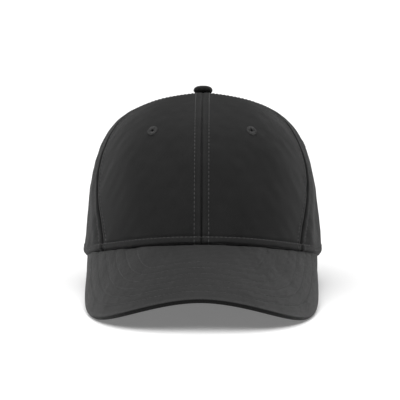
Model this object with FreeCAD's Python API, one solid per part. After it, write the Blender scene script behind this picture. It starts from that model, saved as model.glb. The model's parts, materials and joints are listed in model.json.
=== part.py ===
"""Six-panel structured baseball cap with a pre-curved visor, a fabric strap and a metal clamp buckle.

Everything is modelled in the cap frame first: the base plane of the head opening is z = 0, the visor
points to -Y and the button stands on the crown's top. The finished solids are then tilted and moved to the
row frame, where the cap rests on the surface z = 0 on its two visor corners and on the two feet of the back
opening.
+X is the wearer's left. Lengths are millimetres and angles are degrees.
"""

import FreeCAD
import Part
import math
import os

# Head opening: outer face of the crown at its base, three tangent arcs on each side of the centre line
FRONT_RADIUS = 80.0
SIDE_RADIUS = 115.5
BACK_RADIUS = 84.0
FRONT_ARC_END = 48.0

# Crown
CROWN_HEIGHT = 125.5
APEX_Y = 4.0
PEAK = 9.0  # height of the gentle cone that rises to the button
PEAK_REACH = 0.8
FLARE = 4.3  # how far the side wall stands out at its base
BACK_FLARE = 1.0
FLARE_HEIGHT = 89.0
FULLNESS_FRONT = 2.9  # superellipse exponents of the crown's meridians
FULLNESS_SIDE = 3.45
FULLNESS_BACK = 2.3
TOP_HOLE_SHARE = 0.045  # the hole at the apex, as a share of the base radius
CLOTH = 0.8
SEAM_GAP = 0.07  # degrees left free on each side of a seam

# Seams, as the direction of the outline's normal: 0 is the front, 180 is the back
FRONT_SEAM_BASE = 58.0
FRONT_SEAM_TOP = 71.0
FRONT_SEAM_RISE = 0.55  # share of the height at which the front seam reaches its top direction
BACK_SEAM = 112.0

# Layers inside the crown, as depths from its outer face
BUCKRAM_LAYER = (0.9, 1.5)
FRONT_TAPE_LAYER = (1.7, 2.2)
TAPE_LAYER = (1.0, 1.5)
TAPE_HALF_WIDTH = 7.0
TAPE_TOP_SHARE = 0.17
SWEATBAND_THICKNESS = 0.9
SWEATBAND_DEPTH = 3.2
SWEATBAND_BACK_DEPTH = 5.1  # deeper at the back, where the strap runs behind it
SWEATBAND_TOP = 30.0

# Visor: straight lines from the crown's lower edge to a free edge that is bent round a falling axis
VISOR_LENGTH = 64.5
VISOR_HALF_WIDTH = 83.4
VISOR_SQUARENESS = 2.8
VISOR_SIDE_Y = -48.2
VISOR_TIP_DIRECTION = 74.0
VISOR_SLOPE = 29.9
VISOR_RADIUS = 104.0
EDGE_LIFT = 3.4  # how far the crown's lower edge rises at the front
SIDE_RISE = 6.5  # and at the sides
SIDE_ARCH = (72.0, 93.0, 128.0)  # directions where that side arch starts, peaks and ends
ROOT_RISE = 1.2  # how far the visor's top face stands above that edge
RIM_LIFT = 2.9  # height of the free edge's sloping plane above the front of the opening
ROOT_GAP = 0.15
COVER = 0.6
BOARD = 2.0
LAYER_GAP = 0.04
VISOR_THICKNESS = 2 * COVER + BOARD + 2 * LAYER_GAP
VISOR_HEM = 1.2
BOARD_INSET = 1.6

# Back opening and its binding
ARCH_HALF_WIDTH = 34.0
ARCH_HEIGHT = 48.0
BINDING_WIDTH = 6.0
BINDING_LIP = 0.8
BINDING_OUT = 0.45
BINDING_IN = 1.15
ARCH_TAPE_ANGLE = 31.0  # crown angle at which the centre back tape starts, above the binding

# Strap: an arc about the axis of the back radius, so that it slides along itself
STRAP_INNER_RADIUS = 79.3
STRAP_THICKNESS = 1.2
STRAP_BOTTOM = 4.0
STRAP_TOP = 22.0
STRAP_ANGLES = (-40.5, 41.5)
SLIDE_GAP = 0.3

# Clamp buckle, in angle about the strap's axis
BUCKLE_ANGLES = (1.6, 19.6)
BRIDGE_ANGLES = (3.0, 14.0)
PLATE = 0.9
CHEEK_GAP = 0.5
CHEEK_OUTER_RADIUS = 84.0
PIN_ANGLE = 4.2
PIN_AXIS_RADIUS = 82.8
PIN_RADIUS = 0.8
PIN_CLEARANCE = 0.05
BARREL_RADIUS = 1.6
LEVER_END_ANGLE = 16.3
LEVER_LIP = 0.8
NOSE_HALF_ANGLE = 0.55
BAR_ANGLE = 18.3
BAR_AXIS_RADIUS = 82.3
BAR_RADIUS = 0.75
LOOP_CLOTH = 0.6
LOOP_INSET = 1.0
LOOP_TAIL_ANGLE = 33.0
LOOP_TAIL_THICKNESS = 0.55

# Button and eyelets
BUTTON_RADIUS = 7.2
BUTTON_HEIGHT = 5.6
BUTTON_CLOTH = 0.5
BUTTON_SQUARENESS = 2.7
BUTTON_SEAT = CROWN_HEIGHT - 0.6
RIVET_RADIUS = 1.5
RIVET_HEAD_RADIUS = 6.0
RIVET_HEAD_THICKNESS = 0.8
RIVET_SEAT = CROWN_HEIGHT - 2.05
EYELET_RADIUS = 4.0
EYELET_BARREL_RADIUS = 2.1
EYELET_HOLE_RADIUS = 1.25
EYELET_RISE = 0.75
EYELET_CLEARANCE = 0.18
EYELET_UNDER_CLEARANCE = 0.45
# Each pair of eyelets as direction and crown angle
EYELETS = {"front": (32.8, 41.0), "side": (92.0, 39.0), "back": (146.0, 40.0)}

# Care label, a plain folded tab on the sweatband
LABEL_DIRECTIONS = (128.0, 141.0)
LABEL_HEIGHTS = (7.0, 25.0)
LABEL_THICKNESS = 0.4

# Rest position
REST_TILT = 12.21

V = FreeCAD.Vector
UP = V(0, 0, 1)


# ---------------------------------------------------------------- shape of the crown and the visor


def smooth(x):
    """0 before 0, 1 after 1, and a smooth step between."""
    x = min(max(x, 0.0), 1.0)
    return x * x * (3 - 2 * x)


def normal_at(direction):
    a = math.radians(direction)
    return V(math.sin(a), -math.cos(a), 0)


def outline_arcs():
    """Centre, radius and last direction of the three arcs on the +X side, before centring."""
    ratio = (SIDE_RADIUS - FRONT_RADIUS) / (SIDE_RADIUS - BACK_RADIUS)
    back_start = 180 - math.degrees(math.asin(ratio * math.sin(math.radians(FRONT_ARC_END))))
    front = V(0, 0, 0)
    side = front + normal_at(FRONT_ARC_END) * (FRONT_RADIUS - SIDE_RADIUS)
    back = side + normal_at(back_start) * (SIDE_RADIUS - BACK_RADIUS)
    half_length = (back.y + BACK_RADIUS + FRONT_RADIUS) / 2
    shift = V(0, FRONT_RADIUS - half_length, 0)
    return [
        (front + shift, FRONT_RADIUS, FRONT_ARC_END),
        (side + shift, SIDE_RADIUS, back_start),
        (back + shift, BACK_RADIUS, 180.0),
    ]


ARCS = outline_arcs()
STRAP_AXIS_Y = ARCS[2][0].y
FRONT_Y = ARCS[0][0].y - FRONT_RADIUS


def outline(direction, inset=0.0):
    """Point of the head opening whose normal has this direction; negative directions are on the -X side."""
    side = abs(direction)
    centre, radius, _ = next(arc for arc in ARCS if side <= arc[2] + 1e-9)
    point = centre + normal_at(side) * (radius - inset)
    return V(math.copysign(point.x, direction) if direction else point.x, point.y, 0)


def run_to(direction):
    """Length along the outline from the front to this direction; negative on the -X side."""
    length, start = 0.0, 0.0
    for _, radius, end in ARCS:
        length += radius * math.radians(max(0.0, min(abs(direction), end) - start))
        start = end
    return math.copysign(length, direction)


def direction_after(length):
    """Direction at a length along the outline from the front."""
    left, start = abs(length), 0.0
    for _, radius, end in ARCS:
        arc = radius * math.radians(end - start)
        if left <= arc + 1e-9:
            break
        left, start = left - arc, end
    return math.copysign(start + math.degrees(left / radius), length)


def mix(direction, stations):
    """Smooth blend of values given at directions, [(direction, value), ...]."""
    side = abs(direction)
    for (a, low), (b, high) in zip(stations, stations[1:]):
        if side <= b:
            return low + (high - low) * smooth((side - a) / (b - a))
    return stations[-1][1]


def crown_edge(direction):
    """Height of the crown's lower edge, which rises a little over the visor and arches behind its tips."""
    side = abs(direction)
    over_visor = EDGE_LIFT * max(0.0, 1 - (side / VISOR_TIP_DIRECTION) ** 2) ** 2
    start, peak, end = SIDE_ARCH
    arch = smooth((side - start) / (peak - start)) * (1 - smooth((side - peak) / (end - peak)))
    return over_visor + SIDE_RISE * arch


def fullness(direction):
    stations = [(0, FULLNESS_FRONT), (60, FULLNESS_SIDE), (110, FULLNESS_SIDE), (180, FULLNESS_BACK)]
    return mix(direction, stations)


def crown_at(direction, share, rise, depth):
    """Crown point from its share of the base radius and of the height, at a depth below the outer face."""
    edge = crown_edge(direction)
    height = edge + (CROWN_HEIGHT - PEAK - depth - edge) * rise
    height += PEAK * max(0.0, 1 - share / PEAK_REACH) ** 1.5
    lean = min((height - edge) / FLARE_HEIGHT, 1.0)
    flare = mix(direction, [(0, FLARE), (110, FLARE), (180, BACK_FLARE)])
    inward = V(*normal_at(abs(direction)))
    inward.x = math.copysign(inward.x, direction)
    base = outline(direction, depth)
    apex = V(0, APEX_Y, 0)
    point = apex + (base - apex) * share - inward * (flare * lean * (2 - lean) * share)
    return V(point.x, point.y, height)


def crown_point(direction, angle, depth=0.0):
    """Crown point on the meridian of a direction; angle 0 is the lower edge and 90 is the apex."""
    p = fullness(direction)
    c, s = math.cos(math.radians(angle)), math.sin(math.radians(angle))
    size = (c**p + s**p) ** (-1 / p)
    return crown_at(direction, c * size, s * size, depth)


def crown_at_height(direction, height, depth):
    """Crown point at a height above the base plane, for the wall's lower part."""
    edge = crown_edge(direction)
    rise = max(0.0, (height - edge) / (CROWN_HEIGHT - PEAK - depth - edge))
    p = fullness(direction)
    return crown_at(direction, (1 - rise**p) ** (1 / p), rise, depth)


def angle_at_share(direction, share):
    """Crown angle at which a meridian comes to this share of its base radius."""
    rise = (1 - share ** fullness(direction)) ** (1 / fullness(direction))
    return math.degrees(math.atan2(rise, share))


def front_seam(angle):
    """Direction of the seam between front and side panel at a crown angle."""
    rise = math.sin(math.radians(angle))
    return FRONT_SEAM_BASE + (FRONT_SEAM_TOP - FRONT_SEAM_BASE) * smooth(rise / FRONT_SEAM_RISE)


def back_seam(angle):
    return BACK_SEAM


# ---------------------------------------------------------------- solid builders


def surface(grid):
    made = Part.BSplineSurface()
    made.interpolate(grid)
    return made


def solid_between(outer, inner):
    """Closed solid between two grids of points that have the same rows and columns."""
    a, b = surface(outer), surface(inner)
    faces = [a.toShape(), b.toShape()]
    (u0, u1, v0, v1), (s0, s1, t0, t1) = a.bounds(), b.bounds()
    sides = [(a.uIso(u0), b.uIso(s0)), (a.uIso(u1), b.uIso(s1))]
    ends = [(a.vIso(v0), b.vIso(t0)), (a.vIso(v1), b.vIso(t1))]
    faces += [Part.makeRuledSurface(p.toShape(), q.toShape()) for p, q in sides + ends]
    shell = Part.makeShell(faces)
    shell.sewShape()
    solid = Part.makeSolid(shell if shell.ShapeType == "Shell" else shell.Shells[0])
    if solid.Volume < 0:
        solid.reverse()
    return solid


def spread(low, high, count):
    return [low + (high - low) * i / (count - 1) for i in range(count)]


def crown_shell(left, right, bottom, top, layer, columns=15, rows=31):
    """Shell between two depths.

    left and right are functions of the angle, and bottom and top of the direction.
    """

    def grid(depth):
        made = []
        for u in spread(0, 1, columns):
            column = []
            for v in spread(0, 1, rows):
                middle = left(45) + (right(45) - left(45)) * u
                angle = bottom(middle) + (top(middle) - bottom(middle)) * v
                length = run_to(left(angle)) * (1 - u) + run_to(right(angle)) * u
                column.append(crown_point(direction_after(length), angle, depth))
            made.append(column)
        return made

    return solid_between(grid(layer[0]), grid(layer[1]))


def wall_shell(directions, heights, layer, columns=9, rows=5):
    """Shell on the wall's lower part; heights and layer give (low, high) for a direction."""

    def grid(which):
        return [
            [crown_at_height(d, h, layer(d)[which]) for h in spread(*heights(d), rows)]
            for d in map(direction_after, spread(*map(run_to, directions), columns))
        ]

    return solid_between(grid(0), grid(1))


def mirrored(shape):
    return shape.mirror(V(0, 0, 0), V(1, 0, 0))


def rod(radius, start, end):
    return Part.makeCylinder(radius, (end - start).Length, start, end - start)


def polar(radius, angle, height=0.0):
    """Point about the strap's axis; angle 0 is straight back and positive is towards +X."""
    a = math.radians(angle)
    return V(radius * math.sin(a), STRAP_AXIS_Y + radius * math.cos(a), height)


def sector(radii, angles, heights):
    """Curved bar about the strap's axis."""
    axis = V(0, STRAP_AXIS_Y, heights[0])
    sweep = angles[1] - angles[0]
    wedges = [Part.makeCylinder(r, heights[1] - heights[0], axis, UP, sweep) for r in radii]
    made = wedges[1].cut(wedges[0])
    made.rotate(axis, UP, 90 - angles[1])
    return made


def revolved(profile, centre=V(0, 0, 0)):
    """Solid turned about the vertical line through centre from [radius, height] corners."""
    points = [V(r, 0, h) + centre for r, h in profile]
    face = Part.Face(Part.makePolygon(points + points[:1]))
    return face.revolve(centre, UP, 360)


# ---------------------------------------------------------------- crown


def arch_prism(grow=0.0):
    """Prism through the back wall with the shape of the back opening, grown on every side."""
    radius = ARCH_HALF_WIDTH + grow
    spring = ARCH_HEIGHT - ARCH_HALF_WIDTH
    foot = -20.0
    y = STRAP_AXIS_Y + 20.0
    left, right = V(-radius, y, spring), V(radius, y, spring)
    arc = Part.Arc(left, V(0, y, spring + radius), right).toShape()
    sides = Part.makePolygon([right, V(radius, y, foot), V(-radius, y, foot), left])
    return Part.Face(Part.Wire([arc] + sides.Edges)).extrude(V(0, 100, 0))


def eyelet_frame(direction, angle):
    """Centre on the outer face and outward normal of an eyelet."""
    step = 0.5
    centre = crown_point(direction, angle)
    across = crown_point(direction + step, angle) - crown_point(direction - step, angle)
    up = crown_point(direction, angle + step) - crown_point(direction, angle - step)
    return centre, across.cross(up).normalize()


def eyelet_bore(pair):
    centre, normal = eyelet_frame(*EYELETS[pair])
    return rod(EYELET_BARREL_RADIUS + 0.1, centre + normal * 5, centre - normal * 8)


def eyelet(pair, cloth):
    """Ring of thread round the hole: a barrel through the cloth with a rim on each face."""
    centre, normal = eyelet_frame(*EYELETS[pair])
    over, under = EYELET_CLEARANCE, -(cloth + EYELET_UNDER_CLEARANCE)
    shoulder = EYELET_RADIUS - 0.5
    profile = [
        (EYELET_HOLE_RADIUS, under - EYELET_RISE * 0.7),
        (shoulder, under - EYELET_RISE * 0.7),
        (EYELET_RADIUS, under),
        (EYELET_BARREL_RADIUS, under),
        (EYELET_BARREL_RADIUS, over),
        (EYELET_RADIUS, over),
        (shoulder, over + EYELET_RISE),
        (EYELET_HOLE_RADIUS + 0.3, over + EYELET_RISE),
        (EYELET_HOLE_RADIUS, over + EYELET_RISE * 0.6),
    ]
    ring = revolved(profile)
    ring.Placement = FreeCAD.Placement(centre, FreeCAD.Rotation(UP, normal))
    return ring


def crown_panels():
    """The three panels of the +X side and their mirror images."""
    lower = lambda direction: 0.0
    upper = lambda direction: angle_at_share(direction, TOP_HOLE_SHARE)
    centre_front = lambda angle: SEAM_GAP
    centre_back = lambda angle: 180 - SEAM_GAP
    before = lambda seam: lambda angle: seam(angle) - SEAM_GAP
    after = lambda seam: lambda angle: seam(angle) + SEAM_GAP
    cloth = (0.0, CLOTH)
    panels = {
        "front": crown_shell(centre_front, before(front_seam), lower, upper, cloth),
        "side": crown_shell(after(front_seam), before(back_seam), lower, upper, cloth),
        "back": crown_shell(after(back_seam), centre_back, lower, upper, cloth).cut(arch_prism()),
    }
    made = {}
    for name, panel in panels.items():
        panel = panel.cut(eyelet_bore(name))
        made[f"{name}_panel_left"] = panel
        made[f"{name}_panel_right"] = mirrored(panel)
    return made


def buckram():
    """Stiff mesh behind each front panel."""
    lower = lambda direction: 1.0
    upper = lambda direction: angle_at_share(direction, 0.12)
    piece = crown_shell(lambda a: 0.4, lambda a: front_seam(a) - 1.5, lower, upper, BUCKRAM_LAYER)
    piece = piece.cut(eyelet_bore("front"))
    return {"buckram_left": piece, "buckram_right": mirrored(piece)}


def seam_tape(seam, layer, low=1.0, sides=(-1, 1)):
    """Tape of constant width along a seam, from a low crown angle to the button.

    sides (0, 1) or (-1, 0) makes only one half of it.
    """

    def edge(side):
        def direction(angle):
            p = fullness(seam(angle))
            c, s = math.cos(math.radians(angle)), math.sin(math.radians(angle))
            distance = BACK_RADIUS * c * (c**p + s**p) ** (-1 / p)
            return seam(angle) + side * math.degrees(TAPE_HALF_WIDTH / distance)

        return direction

    top = angle_at_share(seam(80), TAPE_TOP_SHARE)
    return crown_shell(edge(sides[0]), edge(sides[1]), lambda d: low, lambda d: top, layer, columns=5)


def seam_tapes():
    halves = {
        "seam_tape_centre_front": seam_tape(lambda angle: 0.0, FRONT_TAPE_LAYER, sides=(0, 1)),
        "seam_tape_centre_back": seam_tape(lambda angle: 180.0, TAPE_LAYER, ARCH_TAPE_ANGLE, sides=(-1, 0)),
    }
    made = {name: half.fuse(mirrored(half)).removeSplitter() for name, half in halves.items()}
    front = seam_tape(front_seam, FRONT_TAPE_LAYER)
    back = seam_tape(back_seam, TAPE_LAYER)
    made["seam_tape_front_left"] = front
    made["seam_tape_front_right"] = mirrored(front)
    made["seam_tape_back_left"] = back
    made["seam_tape_back_right"] = mirrored(back)
    return made


def sweatband_layer(direction):
    depth = mix(direction, [(0, SWEATBAND_DEPTH), (95, SWEATBAND_DEPTH), (120, SWEATBAND_BACK_DEPTH)])
    return depth, depth + SWEATBAND_THICKNESS


def sweatband():
    """Band inside the opening, from one side of the back opening round the front to the other."""
    end = 180 - math.degrees(math.asin(ARCH_HALF_WIDTH / BACK_RADIUS))
    heights = lambda direction: (crown_edge(direction) + 0.8, SWEATBAND_TOP)
    half = wall_shell((0.0, end), heights, sweatband_layer, columns=29)
    return {"sweatband": half.fuse(mirrored(half)).removeSplitter()}


def care_label():
    depth = SWEATBAND_BACK_DEPTH + SWEATBAND_THICKNESS + 0.25
    layer = lambda direction: (depth, depth + LABEL_THICKNESS)
    return {"care_label": wall_shell(LABEL_DIRECTIONS, lambda d: LABEL_HEIGHTS, layer)}


def arch_binding():
    """Folded tape round the edge of the back opening, over both faces of the cloth."""
    half_angle = 40.0
    left = lambda angle: 180 - half_angle
    middle = lambda angle: 180.0
    top = lambda direction: 60.0
    band = lambda layer: crown_shell(left, middle, lambda d: 0.0, top, layer)
    ring = arch_prism(BINDING_WIDTH).cut(arch_prism(-BINDING_LIP))
    fold = band((-BINDING_OUT, BINDING_IN)).common(ring)
    slot = band((-0.05, CLOTH + 0.05)).cut(arch_prism(-0.05))
    half = fold.cut(slot)
    return {"arch_binding": half.fuse(mirrored(half)).removeSplitter()}


# ---------------------------------------------------------------- visor


def visor_rim(u):
    """Point of the visor's free edge, on its top face; u is 0 at the -X tip and 1 at the +X tip."""
    length = VISOR_SIDE_Y - (FRONT_Y - VISOR_LENGTH)
    c, s = math.cos(math.pi * u), math.sin(math.pi * u)
    power = 2 / VISOR_SQUARENESS
    x = -math.copysign(VISOR_HALF_WIDTH * abs(c) ** power, c)
    y = VISOR_SIDE_Y - length * abs(s) ** power
    slope = math.radians(VISOR_SLOPE)
    sag = VISOR_RADIUS - math.sqrt(VISOR_RADIUS**2 - x * x)
    return V(x, y, RIM_LIFT + (y - FRONT_Y) * math.tan(slope) - sag / math.cos(slope))


def visor_root(u):
    direction = (2 * u - 1) * VISOR_TIP_DIRECTION
    return outline(direction) + UP * (crown_edge(direction) + ROOT_RISE)


def visor_point(u, v, depth):
    """Point of the visor: v is 0 at the crown and 1 at the free edge, depth is below the top face."""

    def top(u, v):
        return visor_root(u) * (1 - v) + visor_rim(u) * v

    step = 0.002
    along = top(min(u + step, 1.0), v) - top(max(u - step, 0.0), v)
    normal = along.cross(visor_root(u) - visor_rim(u)).normalize()
    return top(u, v) - normal * depth


def outside(point):
    """Distance of a point in plan from the head opening's front or side arc."""
    lean = math.degrees(math.atan2(abs(point.x), ARCS[0][0].y - point.y))
    centre, radius, _ = ARCS[0] if lean <= FRONT_ARC_END else ARCS[1]
    return V(abs(point.x) - centre.x, point.y - centre.y, 0).Length - radius


def start_of_layer(u, depth, gap):
    """v at which a line of the visor comes out of the crown at this depth."""
    low, high = -0.6, 0.6
    for _ in range(24):
        middle = (low + high) / 2
        if outside(visor_point(u, middle, depth)) < gap:
            low = middle
        else:
            high = middle
    return high


def visor_sheet(depths, inset=0.0, gap=ROOT_GAP, columns=41, rows=9):
    """Layer of the visor between two depths; its free edge is square to the visor's face."""
    tip = inset / (2 * VISOR_HALF_WIDTH)

    def grid(depth):
        made = []
        for u in spread(tip, 1 - tip, columns):
            start = start_of_layer(u, depth, gap)
            end = 1 - inset / (visor_rim(u) - visor_root(u)).Length
            made.append([visor_point(u, v, depth) for v in spread(start, end, rows)])
        return made

    return solid_between(grid(depths[0]), grid(depths[1]))


def visor():
    """Board between two covers; the top cover turns down round the board's edge."""
    board_top = COVER + LAYER_GAP
    board_under = board_top + BOARD
    under_top = board_under + LAYER_GAP
    pocket = visor_sheet((COVER, under_top + 1), VISOR_HEM, -4.0)
    return {
        "visor_top_cover": visor_sheet((0.0, board_under)).cut(pocket),
        "visor_board": visor_sheet((board_top, board_under), BOARD_INSET),
        "visor_under_cover": visor_sheet((under_top, VISOR_THICKNESS)),
    }


# ---------------------------------------------------------------- closure


def strap():
    radii = (STRAP_INNER_RADIUS, STRAP_INNER_RADIUS + STRAP_THICKNESS)
    return {"strap": sector(radii, STRAP_ANGLES, (STRAP_BOTTOM, STRAP_TOP))}


def buckle_loop():
    """Tab sewn behind the back panel whose end goes round the buckle's bar."""
    low, high = STRAP_BOTTOM + LOOP_INSET, STRAP_TOP - LOOP_INSET
    inner = BAR_RADIUS + 0.1
    bar = lambda reach: [polar(BAR_AXIS_RADIUS, BAR_ANGLE, h) for h in (low - reach, high + reach)]
    ring = rod(inner + LOOP_CLOTH, *bar(0))
    tail_radius = BAR_AXIS_RADIUS - inner - LOOP_CLOTH
    tail = sector((tail_radius, tail_radius + LOOP_TAIL_THICKNESS), (BAR_ANGLE, LOOP_TAIL_ANGLE), (low, high))
    return {"buckle_loop": ring.fuse(tail).cut(rod(inner, *bar(1))).removeSplitter()}


def buckle():
    """Frame with two cheeks, a bridge under the strap and a bar for the loop; the pin carries the lever."""
    bridge_outer = STRAP_INNER_RADIUS - SLIDE_GAP
    bridge_inner = bridge_outer - PLATE
    low, high = STRAP_BOTTOM - CHEEK_GAP, STRAP_TOP + CHEEK_GAP
    cheeks = [
        sector((bridge_inner, CHEEK_OUTER_RADIUS), BUCKLE_ANGLES, (low - PLATE, low)),
        sector((bridge_inner, CHEEK_OUTER_RADIUS), BUCKLE_ANGLES, (high, high + PLATE)),
    ]
    bridge = sector((bridge_inner, bridge_outer), BRIDGE_ANGLES, (low - 0.1, high + 0.1))
    bar = rod(BAR_RADIUS, *[polar(BAR_AXIS_RADIUS, BAR_ANGLE, h) for h in (low - 0.1, high + 0.1)])
    axis = [polar(PIN_AXIS_RADIUS, PIN_ANGLE, h) for h in (low - 2 * PLATE, high + 2 * PLATE)]
    frame = cheeks[0].multiFuse([cheeks[1], bridge, bar]).removeSplitter()
    frame = frame.cut(rod(PIN_RADIUS + 0.02, *axis))
    reach = PLATE + 0.2
    pin = rod(PIN_RADIUS, *[polar(PIN_AXIS_RADIUS, PIN_ANGLE, h) for h in (low - reach, high + reach)])
    return {"buckle_frame": frame, "buckle_pin": pin, "buckle_lever": buckle_lever(low, high, axis)}


def buckle_lever(low, high, axis):
    """Cover plate with a barrel round the pin and a nose that grips the strap."""
    side_gap = 0.4
    heights = (low + side_gap, high - side_gap)
    plate_outer = PIN_AXIS_RADIUS + BARREL_RADIUS
    plate = sector((plate_outer - PLATE, plate_outer), (PIN_ANGLE, LEVER_END_ANGLE), heights)
    lip_angles = (LEVER_END_ANGLE - 0.8, LEVER_END_ANGLE)
    lip = sector((plate_outer - 0.1, plate_outer + LEVER_LIP), lip_angles, heights)
    barrel = rod(BARREL_RADIUS, *[polar(PIN_AXIS_RADIUS, PIN_ANGLE, h) for h in heights])
    nose_tip = STRAP_INNER_RADIUS + STRAP_THICKNESS + SLIDE_GAP
    nose_angles = (PIN_ANGLE - NOSE_HALF_ANGLE, PIN_ANGLE + NOSE_HALF_ANGLE)
    nose = sector((nose_tip, PIN_AXIS_RADIUS), nose_angles, heights)
    lever = plate.multiFuse([lip, barrel, nose]).removeSplitter()
    return lever.cut(rod(PIN_RADIUS + PIN_CLEARANCE, *axis))


# ---------------------------------------------------------------- button


def button():
    """Cloth-covered shell on the crown's top, held by a rivet from inside."""
    seat = V(0, APEX_Y, BUTTON_SEAT)
    gap = 0.03

    def dome(radius, bottom, top):
        """Low dome with a tucked-under rim, as a solid of revolution."""
        shoulder = bottom + (top - bottom) * 0.3
        power = 2 / BUTTON_SQUARENESS
        tuck = [(radius - 0.9, bottom), (radius - 0.25, (bottom + shoulder) / 2)]
        crest = []
        for turn in spread(0, 90, 7):
            c, s = math.cos(math.radians(turn)), math.sin(math.radians(turn))
            crest.append((radius * max(c, 0.0) ** power, shoulder + (top - shoulder) * s**power))
        curve = Part.BSplineCurve()
        curve.interpolate([V(r, 0, h) for r, h in tuck + crest])
        floor = Part.makePolygon([V(crest[-1][0], 0, top), V(0, 0, bottom), V(radius - 0.9, 0, bottom)])
        made = Part.Face(Part.Wire([curve.toShape()] + floor.Edges)).revolve(V(0, 0, 0), UP, 360)
        made.translate(seat)
        return made

    core = dome(BUTTON_RADIUS - BUTTON_CLOTH, BUTTON_CLOTH, BUTTON_HEIGHT - BUTTON_CLOTH)
    hollow = dome(BUTTON_RADIUS - BUTTON_CLOTH + gap, BUTTON_CLOTH - gap, BUTTON_HEIGHT - BUTTON_CLOTH + gap)
    post_hole = rod(RIVET_RADIUS + 0.05, seat - UP, seat + UP * (BUTTON_HEIGHT * 0.6))
    cover = dome(BUTTON_RADIUS, 0.0, BUTTON_HEIGHT).cut(hollow).cut(post_hole)
    head_top = V(0, APEX_Y, RIVET_SEAT)
    head_bottom = head_top - UP * RIVET_HEAD_THICKNESS
    post = rod(RIVET_RADIUS, head_bottom, seat + UP * (BUTTON_HEIGHT * 0.55))
    head = rod(RIVET_HEAD_RADIUS, head_bottom, head_top)
    rivet = post.fuse(head).removeSplitter()
    return {"button_cover": cover, "button_core": core.cut(post_hole), "button_rivet": rivet}


def eyelets():
    made = {}
    for pair in EYELETS:
        ring = eyelet(pair, BUCKRAM_LAYER[1] if pair == "front" else CLOTH)
        made[f"eyelet_{pair}_left"] = ring
        made[f"eyelet_{pair}_right"] = mirrored(ring)
    return made


# ---------------------------------------------------------------- assembly in the row frame


def mesh_points(shapes):
    return [p for shape in shapes for p in shape.tessellate(0.05)[0]]


def to_row_frame(parts):
    """Tilts the cap back to its rest, and moves the bottom centre of its box to the origin."""
    for shape in parts.values():
        shape.rotate(V(0, 0, 0), V(1, 0, 0), -REST_TILT)
    points = mesh_points(parts.values())
    middle = (min(p.y for p in points) + max(p.y for p in points)) / 2
    floor = min(p.z for p in points)
    for shape in parts.values():
        shape.translate(V(0, -middle, -floor))
    visor_gap = min(p.z for p in mesh_points([parts["visor_under_cover"]]))
    print("head opening's centre: 0, %.4f, %.4f; visor above the floor: %.3f" % (-middle, -floor, visor_gap))


def main():
    groups = (crown_panels, buckram, seam_tapes, sweatband, care_label, arch_binding, visor, strap)
    groups += (buckle_loop, buckle, button, eyelets)
    parts = {}
    for group in groups:
        parts.update(group())
    to_row_frame(parts)
    os.makedirs("parts", exist_ok=True)
    for name, shape in parts.items():
        shape.exportStep(f"parts/{name}.step")
        print("%-24s %9.1f mm3, %d solid" % (name, shape.Volume, len(shape.Solids)))


main()
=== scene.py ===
import bmesh
import bpy
import json
import math
import numpy as np
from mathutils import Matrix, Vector
from mathutils.bvhtree import BVHTree

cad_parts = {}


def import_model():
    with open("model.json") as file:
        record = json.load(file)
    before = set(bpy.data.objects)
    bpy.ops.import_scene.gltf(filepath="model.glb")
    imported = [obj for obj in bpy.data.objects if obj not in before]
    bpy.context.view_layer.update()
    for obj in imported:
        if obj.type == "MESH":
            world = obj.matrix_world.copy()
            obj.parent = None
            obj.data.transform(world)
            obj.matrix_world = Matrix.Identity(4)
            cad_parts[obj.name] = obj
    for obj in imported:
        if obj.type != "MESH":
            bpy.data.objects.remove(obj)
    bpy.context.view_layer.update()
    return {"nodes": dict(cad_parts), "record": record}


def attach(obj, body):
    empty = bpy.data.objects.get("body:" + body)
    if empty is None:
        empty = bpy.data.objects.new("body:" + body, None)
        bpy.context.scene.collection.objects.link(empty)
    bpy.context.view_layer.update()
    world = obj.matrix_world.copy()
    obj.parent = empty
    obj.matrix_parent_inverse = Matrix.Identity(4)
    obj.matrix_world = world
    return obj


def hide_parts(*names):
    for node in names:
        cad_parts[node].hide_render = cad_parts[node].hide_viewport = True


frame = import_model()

# All shapes below are worked out in the cap frame, in millimetres: the base plane of the head opening is
# z = 0, the visor points to -Y, +X is the wearer's left and the button is on top.
MM = 0.001
OPENING = next(m for m in frame["record"]["mounts"] if m["name"] == "head_opening")
ORIGIN = np.array(OPENING["pos_m"])
UP = -np.array(OPENING["axis"])
ACROSS = np.array([1.0, 0.0, 0.0])
BACK = np.cross(UP, ACROSS)

# The head opening's outline, the crown's meridians and the visor: the part's driving dimensions
FRONT_RADIUS, SIDE_RADIUS, BACK_RADIUS = 80.0, 115.5, 84.0
FRONT_ARC_END = 48.0
CROWN_HEIGHT, APEX_Y = 125.5, 4.0
PEAK, PEAK_REACH = 9.0, 0.8
FLARE, BACK_FLARE, FLARE_HEIGHT = 4.3, 1.0, 89.0
FULLNESS = [(0, 2.9), (60, 3.45), (110, 3.45), (180, 2.3)]
TOP_SHARE = 0.05
FRONT_SEAM_BASE, FRONT_SEAM_TOP, FRONT_SEAM_RISE = 58.0, 71.0, 0.55
BACK_SEAM = 112.0
EDGE_LIFT, SIDE_RISE, SIDE_ARCH = 3.4, 6.5, (72.0, 93.0, 128.0)
VISOR_LENGTH, VISOR_HALF_WIDTH, VISOR_SQUARENESS = 64.5, 83.4, 2.8
VISOR_SIDE_Y, VISOR_TIP, VISOR_SLOPE, VISOR_RADIUS = -48.2, 74.0, 29.9, 104.0
ROOT_RISE, RIM_LIFT, VISOR_THICKNESS = 1.2, 2.9, 3.28
ARCH_HALF_WIDTH, ARCH_HEIGHT = 34.0, 48.0
EYELETS = {"front": (32.8, 41.0), "side": (92.0, 39.0), "back": (146.0, 40.0)}
STRAP_INNER, STRAP_THICKNESS, STRAP_SPAN, STRAP_ANGLES = 79.3, 1.2, (4.0, 22.0), (-40.5, 41.5)
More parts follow.
